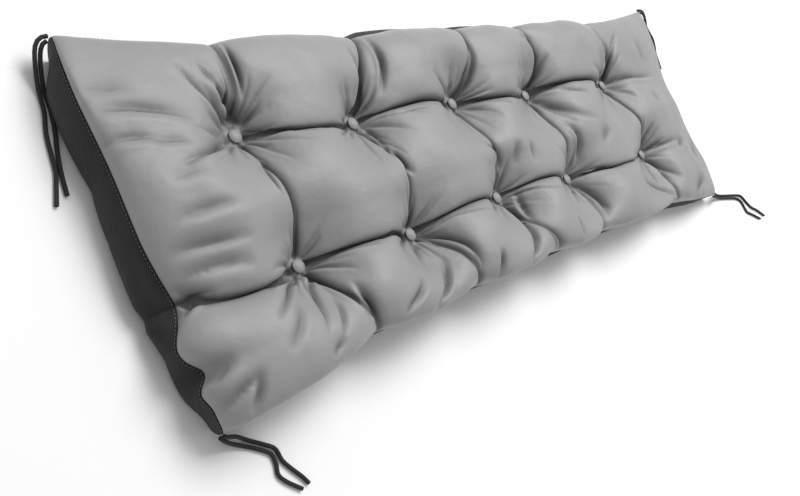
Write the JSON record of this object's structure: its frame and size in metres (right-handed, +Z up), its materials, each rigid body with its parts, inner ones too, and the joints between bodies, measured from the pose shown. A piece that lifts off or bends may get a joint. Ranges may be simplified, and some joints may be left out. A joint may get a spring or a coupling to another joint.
{
  "type": "bench cushion",
  "caption": "Long filled bench cushion with a button-tufted grey front, a dark woven back wrapping up its sides, and cloth ties at the corners.",
  "frame": {"origin": "centre of the box around the cushion and its cover, ties left out, at the underside it lies on", "axes": "+X along the long side, towards the right-hand short end; +Y across, towards the side at the top of the picture; +Z up, out of the tufted face"},
  "size_m": [1.8251, 0.6146, 0.1188],
  "materials": {
    "front_panel": "satin",
    "back_cover": "matte twill",
    "button_cover": "satin",
    "tie_cord": "matte"
  },
  "bodies": {
    "root": {"cushion": "front_panel", "back_cover": "back_cover", "button_1_1": "button_cover", "button_1_2": "button_cover", "button_2_1": "button_cover", "button_2_2": "button_cover", "button_3_1": "button_cover", "button_3_2": "button_cover", "button_4_1": "button_cover", "button_4_2": "button_cover", "button_5_1": "button_cover", "button_5_2": "button_cover", "tie_foot_left_a": "tie_cord", "tie_foot_left_b": "tie_cord", "tie_foot_right_a": "tie_cord", "tie_foot_right_b": "tie_cord", "tie_head_left_a": "tie_cord", "tie_head_left_b": "tie_cord", "tie_head_right_a": "tie_cord", "tie_head_right_b": "tie_cord"}
  },
  "joints": []
}
